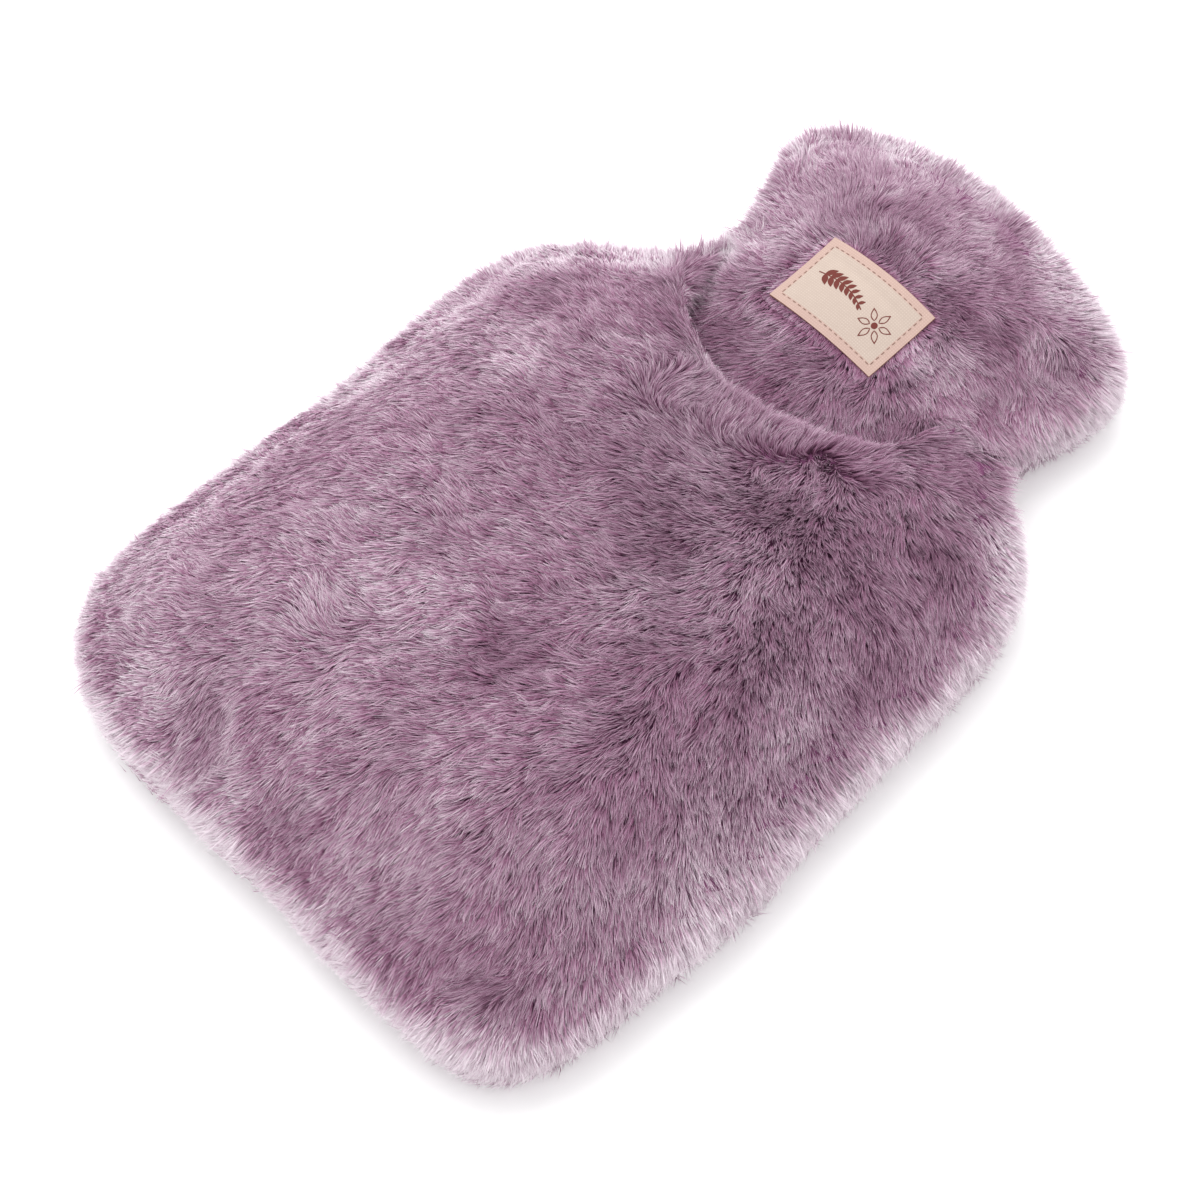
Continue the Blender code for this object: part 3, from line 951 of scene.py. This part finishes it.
        # How deep its root sits, so that its tip ends at the surface.
        height = ((first + second) * ups).sum(1)
        depth = height + (fibre.sunk + rng.normal(0, fibre.stray_depth, count)) * MM
        depth = np.clip(depth, fibre.shallowest * MM, fibre.deepest * MM)
        depth = mix(depth, fibre.under_depth * MM, under)
        out = (fibre.seam_rise + (fibre.rim_rise - fibre.seam_rise) * free) * near
        out += flank * rng.normal(-fibre.flank_in, fibre.flank_fuzz, count)
        depth -= (fibre.label_rise * beside + out * (1 - under)) * MM
        depth = mix(depth, height + fibre.under_label * MM, pressed)
        root = spots - ups * depth[:, None]
        bend, tip = root + first, root + first + second

        # The clump draws its fibres' tips together.
        pull = rng.uniform(*fibre.clump_pull, len(heads))[clump][:, None]
        pull = pull * rng.uniform(*fibre.own_pull, (count, 1)) * (1 - fibre.seam_loose * near[:, None])
        together = tip[heads][clump] + (root - root[heads][clump]) * fibre.tip_apart
        tip += (together - tip) * np.minimum(pull, fibre.most_pull)
        bend += (bend[heads][clump] - bend) * pull * fibre.bend_pull

        along = unit(tip - root)
        side = unit(np.cross(along, ups))
        roll = np.radians(fibre.roll) * rng.normal(size=(count, 1))
        side = side * np.cos(roll) + np.cross(along, side) * np.sin(roll)
        # painted rim light on slopes that face aside and across seams, painted light near edges and rims, and
        # the strokes' painted light and shade
        pale = aside + (fibre.seam_rim_light - aside) * near
        tone = (fibre.tone + light[clump] + fibre.painted_rim_light * pale + fibre.painted_edge_light * near
                + fibre.stray_tone * rng.normal(size=count))
        return self.ribbons(root, bend, tip, side, np.clip(tone, *fibre.tones))

    def lie(self, heading: Array, ups: Array, over: Array, cross: Array) -> Array:
        """Ways along the surface that fibres take.

        Args:
            heading: Their headings in radians.
            ups: The surface's normals.
            over: The ways out over the nearest edge.
            cross: How much of that way each takes.

        Returns:
            Unit vectors in the surface.
        """
        way = np.stack([np.cos(heading), np.sin(heading), np.full(len(heading), -self.fibre.droop)], 1)
        way = mix(way, over, cross)
        return unit(way - ups * (way * ups).sum(1, keepdims=True))

    def ribbons(self, root: Array, bend: Array, tip: Array, side: Array,
                tone: Array) -> list[Object]:
        """Makes each fibre a bent kite of two triangles, joined into a few meshes.

        Args:
            root: Where the fibres start.
            bend: Where they bend.
            tip: Where they end.
            side: Unit vectors across them.
            tone: Their lightness from 0 to 1.

        Returns:
            The meshes' objects.
        """
        made, corners = [], np.array(self.CORNERS)
        along = np.array([0, self.fibre.bend_at, self.fibre.bend_at, 1])[corners]
        order = np.argsort(root[:, 0], kind="stable")
        for part, chosen in enumerate(np.array_split(order, self.piles)):
            n = len(chosen)
            across = side[chosen] * self.fibre.width * MM / 2
            points = np.stack([root[chosen], bend[chosen] + across, bend[chosen] - across, tip[chosen]], 1)
            points[:, :, 2] = np.maximum(points[:, :, 2], self.lowest * MM)
            mesh = bpy.data.meshes.new(f"{self.name}_pile_{part + 1}")
            mesh.vertices.add(n * 4)
            mesh.vertices.foreach_set("co", points.reshape(-1))
            mesh.loops.add(n * 6)
            mesh.loops.foreach_set("vertex_index", (np.arange(n)[:, None] * 4 + corners).reshape(-1))
            mesh.polygons.add(n * 2)
            mesh.polygons.foreach_set("loop_start", np.arange(n * 2) * 3)
            maps = np.zeros((n, 6, 2))
            maps[:, :, 0] = tone[chosen][:, None] + np.array(self.ACROSS) * self.tone_width
            maps[:, :, 1] = along
            mesh.uv_layers.new(name=TONE_MAP).data.foreach_set("uv", maps.reshape(-1))
            mesh.update(calc_edges=True)
            mesh.validate()
            mesh.shade_smooth()
            made.append(link(mesh.name, mesh))
        return made

    def dress(self, pile: Material, backing: Material) -> None:
        """Gives the pieces their finish and hides the panel's solid.

        Args:
            pile: The pile's material.
            backing: The backing's material.
        """
        self.backing.data.materials.append(backing)
        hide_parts(self.node)
        for piece in self.pile:
            piece.data.materials.append(pile)


# ---- label


@dataclass
class SewnLabel:
    """The woven label: a thin sheet that follows the pile, sewn down all round, with a printed sprig."""

    node: str = "label"
    middle: tuple[float, float] = (-7.5, 94.0)
    size: tuple[float, float] = (45.0, 28.0)
    turn: float = -3.5
    thick: float = 0.8
    steps: tuple[int, int] = (45, 28)
    smoothing: int = 12  # rounds that even out its heights
    drop: float = 1.0  # the cloth lies this far below its solid's upper face
    crease: tuple[float, float, float] = (0.5, 0.06, 0.42)  # depth, and width and length as shares
    crease_at: tuple[float, float] = (0.26, 0.10)  # how far up, and how much it slants
    wave: tuple[float, ...] = (0.25, 5.0, 1.5, 4.0)  # its height, turn across, start and turn along
    cut_angle: float = 50.0  # sharper edges than this are creased in the shading
    stitch_inset: float = 2.6
    stitch_pitch: float = 2.3
    stitch_length: float = 1.5
    stitch_above: float = 0.05
    stitch_flat: float = 0.9  # height of a stitch as a share of its width
    thread: float = 0.34
    bare_from: float = 4.0  # no pile grows further inside the label's edge than this
    ink_above: float = 0.05  # the print lies this far over the cloth
    stem_start: tuple[float, float] = (-16.5, 1.5)
    stem_way: tuple[float, float] = (21.0, -3.5)
    stem_bow: tuple[float, float] = (2.6, 2.6)  # how far it bows, and through which turn in radians
    stem_width: float = 0.4
    leaf_turn: tuple[float, float] = (2.0, 48.0)
    leaf_length: tuple[float, float] = (4.6, 0.13)  # the first leaf, and how much shorter each gets
    leaf_slim: float = 0.24  # half width of a leaf as a share of its length
    blossom: tuple[float, float] = (11.5, -1.5)
    petals: int = 6
    petal_from: float = 1.5
    petal_line: float = 0.3
    petal_turn: float = 0.3  # the way the first petal points, in radians
    eye: float = 1.1  # radius of the blossom's middle

    RING = 16  # corners of a leaf or of the blossom's middle
    STEM = 18  # straight parts of the stem
    LEAVES = range(2, 17, 2)  # parts of the stem that carry a pair of leaves
    UPRIGHT = 0.5  # faces that face up less than this are cut edges

    def place(self, points: Array) -> Array:
        """Places on the cover in the label's own directions, in millimetres from its middle.

        Args:
            points: Places in metres, one a row.

        Returns:
            Across and along, one pair a row.
        """
        turn = math.radians(self.turn)
        dx, dy = (points[:, :2] / MM - self.middle).T
        return np.stack([dx * math.cos(turn) + dy * math.sin(turn),
                         dy * math.cos(turn) - dx * math.sin(turn)], 1)

    def inside(self, points: Array) -> Array:
        """How far places in metres lie inside the label's edge, in millimetres, negative outside it."""
        return (np.array(self.size) / 2 - np.abs(self.place(points))).min(1)

    def point(self, across: float, along: float, above: float = 0.0) -> Vector:
        """A place on the label's upper face.

        Args:
            across: From its middle, in millimetres.
            along: The same, up the label.
            above: Height over its face.

        Returns:
            The point in metres.
        """
        turn = math.radians(self.turn)
        x = self.middle[0] + across * math.cos(turn) - along * math.sin(turn)
        y = self.middle[1] + along * math.cos(turn) + across * math.sin(turn)
        u = (across / self.size[0] + 0.5) * self.steps[0]
        v = (along / self.size[1] + 0.5) * self.steps[1]
        i = min(max(int(u), 0), self.steps[0] - 1)
        j = min(max(int(v), 0), self.steps[1] - 1)
        fu, fv, h = u - i, v - j, self.heights
        z = ((1 - fu) * (1 - fv) * h[j, i] + fu * (1 - fv) * h[j, i + 1]
             + (1 - fu) * fv * h[j + 1, i] + fu * fv * h[j + 1, i + 1])
        return Vector((x * MM, y * MM, (z + above) * MM))

    def build(self, node: Object) -> None:
        """Makes the cloth, its stitches and its print.

        Args:
            node: The label's solid.
        """
        self.heights = self.measure(node)
        self.cloth = self.make_cloth()
        self.stitches = self.make_stitches()
        self.sprig = self.make_sprig()

    def measure(self, node: Object) -> Array:
        """Heights of the solid's upper face under a fine grid, smoothed, with a soft crease.

        Args:
            node: The label's solid.

        Returns:
            Heights in millimetres, rows along the label.
        """
        tree = face_tree(node)
        across, along = self.steps
        self.heights = np.zeros((along + 1, across + 1))
        found = np.zeros_like(self.heights)
        for j, i in np.ndindex(found.shape):
            x, y = (i / across - 0.5) * self.size[0], (j / along - 0.5) * self.size[1]
            spot = self.point(x * WITHIN, y * WITHIN)
            found[j, i] = tree.ray_cast(Vector((spot.x, spot.y, OVERHEAD)), Vector((0, 0, -1)))[0].z / MM
        for _ in range(self.smoothing):
            padded = np.pad(found, 1, mode="reflect", reflect_type="odd")
            found = (padded[1:-1, 1:-1] * 4 + padded[:-2, 1:-1] + padded[2:, 1:-1]
                     + padded[1:-1, :-2] + padded[1:-1, 2:]) / 8
        u = np.linspace(-0.5, 0.5, across + 1)[None]
        v = np.linspace(-0.5, 0.5, along + 1)[:, None]
        (depth, width, length), (up, slant) = self.crease, self.crease_at
        crease = depth * np.exp(-(((v - up + slant * u) / width) ** 2)) * np.exp(-((u / length) ** 2))
        high, turn_u, start, turn_v = self.wave
        return found - self.drop - crease + high * np.sin(turn_u * u + start) * np.cos(turn_v * v)

    def make_cloth(self) -> Object:
        """The woven sheet with its cut edges.

        Returns:
            Its object, whose faces know cloth, cut edge and the margin outside the stitches apart.
        """
        bm = bmesh.new()
        bmesh.ops.create_grid(bm, x_segments=self.steps[0], y_segments=self.steps[1], size=0.5)
        for vert in bm.verts:
            vert.co = self.point(vert.co.x * self.size[0], vert.co.y * self.size[1])
        top = list(bm.faces)
        bmesh.ops.recalc_face_normals(bm, faces=top)
        if top[0].normal.z < 0:
            bmesh.ops.reverse_faces(bm, faces=top)
        bmesh.ops.solidify(bm, geom=top, thickness=self.thick * MM)
        bm.normal_update()
        for face in bm.faces:
            inside = self.inside(np.array([face.calc_center_median()]))[0]
            margin_slot = 2 * int(inside < self.stitch_inset)
            face.material_index = 1 if abs(face.normal.z) < self.UPRIGHT else margin_slot
        cloth = finished("label_cloth", bm)
        cloth.data.set_sharp_from_angle(angle=math.radians(self.cut_angle))
        return cloth

    def make_stitches(self) -> Object:
        """A line of running stitches all round, inside the edge.

        Returns:
            The stitches, joined.
        """
        x, y = np.array(self.size) / 2 - self.stitch_inset
        bm = bmesh.new()
        corners = np.array([(-x, -y), (x, -y), (x, y), (-x, y)])
        for start, way in zip(corners, np.roll(corners, -1, 0) - corners):
            length = math.hypot(*way)
            count = round(length / self.stitch_pitch)
            gap = self.stitch_length / length / 2
            for k in range(count):
                t = (k + 0.5) / count
                self.stitch(bm, *(self.point(*(start + way * end)) for end in (t - gap, t + gap)))
        return finished("label_stitches", bm)

    def stitch(self, bm: BMesh, start: Vector, end: Vector) -> None:
        """Adds one stitch, a bead of thread that dips in at both ends.

        Args:
            bm: The mesh it is added to.
            start: One end on the cloth.
            end: The other end.
        """
        middle, way = (start + end) / 2, (end - start)
        turn = way.to_track_quat("X", "Z")
        wide = self.thread * MM
        for vert in bmesh.ops.create_icosphere(bm, subdivisions=2, radius=0.5)["verts"]:
            local = Vector((vert.co.x * way.length, vert.co.y * wide, vert.co.z * wide * self.stitch_flat))
            vert.co = middle + turn @ local + Vector((0, 0, self.stitch_above * MM))

    def make_sprig(self) -> Object:
        """A printed sprig and an open blossom, laid on the cloth as thin ink.

        Returns:
            The print.
        """
        bm = bmesh.new()
        (x, y), (dx, dy), (bow, turn) = self.stem_start, self.stem_way, self.stem_bow
        stem = [(dx * t + x, bow * math.sin(turn * t) + y + dy * t) for t in np.linspace(0, 1, self.STEM + 1)]
        for (xa, ya), (xb, yb) in zip(stem, stem[1:]):
            side = np.array([-(yb - ya), xb - xa])
            sx, sy = side / np.hypot(*side) * self.stem_width / 2
            self.patch(bm, [(xa - sx, ya - sy), (xb - sx, yb - sy), (xb + sx, yb + sy), (xa + sx, ya + sy)])
        for k in self.LEAVES:
            for way in (-1, 1):
                turn = math.radians(self.leaf_turn[0] + self.leaf_turn[1] * way)
                self.leaf(bm, stem[k], turn, self.leaf_length[0] - self.leaf_length[1] * k)
        x, y = self.blossom
        for k in range(self.petals):
            turn = 2 * math.pi * k / self.petals + self.petal_turn
            base = (x + self.petal_from * math.cos(turn), y + self.petal_from * math.sin(turn))
            self.leaf(bm, base, turn, self.leaf_length[0], hollow=self.petal_line)
        self.patch(bm, [(x + self.eye * math.cos(t), y + self.eye * math.sin(t))
                        for t in np.linspace(0, 2 * math.pi, self.RING + 1)[:-1]])
        return finished("label_print", bm, smooth=False)

    def patch(self, bm: BMesh, places: list[tuple[float, float]]) -> None:
        """Adds one flat patch of ink.

        Args:
            bm: The mesh it is added to.
            places: Its corners on the label, in millimetres.
        """
        face = bm.faces.new([bm.verts.new(self.point(x, y, self.ink_above)) for x, y in places])
        face.normal_update()
        if face.normal.z < 0:
            face.normal_flip()

    def leaf(self, bm: BMesh, base: tuple[float, float], turn: float, length: float,
             hollow: float = 0.0) -> None:
        """Adds one pointed leaf or petal to the print.

        Args:
            bm: The mesh it is added to.
            base: Where it leaves the stem.
            turn: The way it points, in radians.
            length: Its length in millimetres.
            hollow: Width of its outline, or 0 for a leaf that is filled.
        """
        outer = self.leaf_edge(base, turn, length, 0.0)
        if not hollow:
            self.patch(bm, outer)
            return
        inner = self.leaf_edge(base, turn, length, hollow)
        for places in zip(outer, outer[1:] + outer[:1], inner[1:] + inner[:1], inner):
            self.patch(bm, list(places))

    def leaf_edge(self, base: tuple[float, float], turn: float, length: float,
                  inset: float) -> list[tuple[float, float]]:
        """The outline of a leaf.

        Args:
            base: Where it leaves the stem.
            turn: The way it points, in radians.
            length: Its length in millimetres.
            inset: How far inside the leaf's edge the outline runs.

        Returns:
            Places on the label, out along one side and back along the other.
        """
        points = []
        for s in np.linspace(0, 2, self.RING + 1)[:-1]:
            t, way = (s, 1) if s <= 1 else (2 - s, -1)
            wide = way * max(self.leaf_slim * length * math.sin(math.pi * t ** 0.8) - inset, 0)
            far = inset + t * (length - 2 * inset)
            points.append((base[0] + far * math.cos(turn) - wide * math.sin(turn),
                           base[1] + far * math.sin(turn) + wide * math.cos(turn)))
        return points

    def dress(self) -> None:
        """Gives the pieces their finish and hides the label's solid."""
        for piece, finishes in ((self.cloth, (COTTON, CUT_EDGE, COTTON_MARGIN)), (self.stitches, (SHADED_THREAD,)),
                                (self.sprig, (INK,))):
            for finish in finishes:
                piece.data.materials.append(finish.build())
        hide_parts(self.node)


# ---- studio


@dataclass
class Studio:
    """Pale floor, white surround, a large soft key light and the camera. Only the light is in metres."""

    target: tuple[float, float, float] = (10.4, -35.2, 30.0)
    azimuth: float = 45.0
    elevation: float = 57.5
    distance: float = 1180.0
    lens: float = 118.0
    sensor: float = 36.0
    near: float = 10.0  # nothing closer to the camera is drawn
    surround: float = 1.1
    key_place: tuple[float, float, float] = (-0.55, 0.25, 1.15)
    key_power: float = 13.0
    key_size: float = 1.4
    floor_half: float = 4.0  # half the floor's side, in metres too

    def build(self) -> None:
        """Makes the floor, the lights and the camera."""
        bpy.context.scene.view_settings.view_transform = "Standard"
        self.make_floor()
        self.make_surround()
        self.make_key()
        self.make_camera()

    def make_floor(self) -> None:
        """A wide white table under the cover, lit a little from below."""
        bm = bmesh.new()
        bmesh.ops.create_grid(bm, x_segments=1, y_segments=1, size=self.floor_half)
        mesh = bpy.data.meshes.new("floor")
        bm.to_mesh(mesh)
        bm.free()
        mesh.materials.append(TABLE.build())
        floor = add_object("floor", mesh)
        floor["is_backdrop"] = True

    def make_surround(self) -> None:
        """Even white light from all round."""
        world = bpy.data.worlds.new("surround")
        world.use_nodes = True
        back = world.node_tree.nodes["Background"]
        back.inputs["Color"].default_value = (1, 1, 1, 1)
        back.inputs["Strength"].default_value = self.surround
        bpy.context.scene.world = world

    def make_key(self) -> None:
        """A square soft light that points at the cover."""
        data = bpy.data.lights.new("key", "AREA")
        data.energy, data.size = self.key_power, self.key_size
        lamp = add_object("key", data)
        lamp.location = self.key_place
        lamp.rotation_euler = (-Vector(self.key_place)).to_track_quat("-Z", "Y").to_euler()

    def make_camera(self) -> None:
        """The camera at the picture's angle."""
        data = bpy.data.cameras.new("camera")
        data.lens, data.sensor_width, data.clip_start = self.lens, self.sensor, self.near * MM
        camera = add_object("camera", data)
        azimuth, elevation = math.radians(self.azimuth), math.radians(self.elevation)
        back = Vector((math.cos(elevation) * math.sin(azimuth), -math.cos(elevation) * math.cos(azimuth),
                       math.sin(elevation)))
        camera.location = (Vector(self.target) + back * self.distance) * MM
        camera.rotation_euler = (-back).to_track_quat("-Z", "Y").to_euler()
        bpy.context.scene.camera = camera


# ---- the cover


PANELS = (
    Panel("back", "back_panel", BACK_STROKES, flat=(0.26, 0.38), area=0.078, piles=2, blades=120000,
          seed=11, rests_on=("floor",), over_seam=0.0),
    Panel("front", "front_panel", FRONT_STROKES, flat=(0.24, 0.27), area=0.052, piles=3, blades=245000,
          seed=21, rests_on=("back_panel",), free_edge=(-47.0, 60.0, 0.0), fibre=Fibre(painted_edge_light=0.12)),
    Panel("neck", "neck_panel", NECK_STROKES, flat=(0.13, 0.15), area=0.0145, piles=1, blades=95000,
          seed=31, rests_on=("back_panel",), edge_from=72.0,
          fibre=Fibre(drift_length=22.0, drift_turn=24.0, patch_length=24.0, patch_lean=8.0,
                      patch_light_and_shade=0.12)),
)


def corners() -> list[list[float]]:
    """The shown model's lowest and highest corner, in metres."""
    return [list(corner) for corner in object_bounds()]


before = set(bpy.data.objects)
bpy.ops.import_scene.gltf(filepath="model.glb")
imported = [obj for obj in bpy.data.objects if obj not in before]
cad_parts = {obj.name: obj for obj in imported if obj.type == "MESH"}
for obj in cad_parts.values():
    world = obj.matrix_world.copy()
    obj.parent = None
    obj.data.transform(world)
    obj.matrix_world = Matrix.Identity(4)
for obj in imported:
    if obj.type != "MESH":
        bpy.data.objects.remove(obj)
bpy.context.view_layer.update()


def main() -> None:
    """Builds the panels, the label and the studio."""
    logging.basicConfig(level=logging.INFO, format="%(message)s")
    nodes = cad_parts
    light = Daylight([nodes[panel.node] for panel in PANELS])
    label = SewnLabel()
    label.build(nodes[label.node])
    pile, backing = PILE.build(), BACKING.build()
    for panel in PANELS:
        panel.build(nodes[panel.node], light, label)
        panel.dress(pile, backing)
    label.dress()
    Studio().build()


if __name__ == "__main__":
    main()
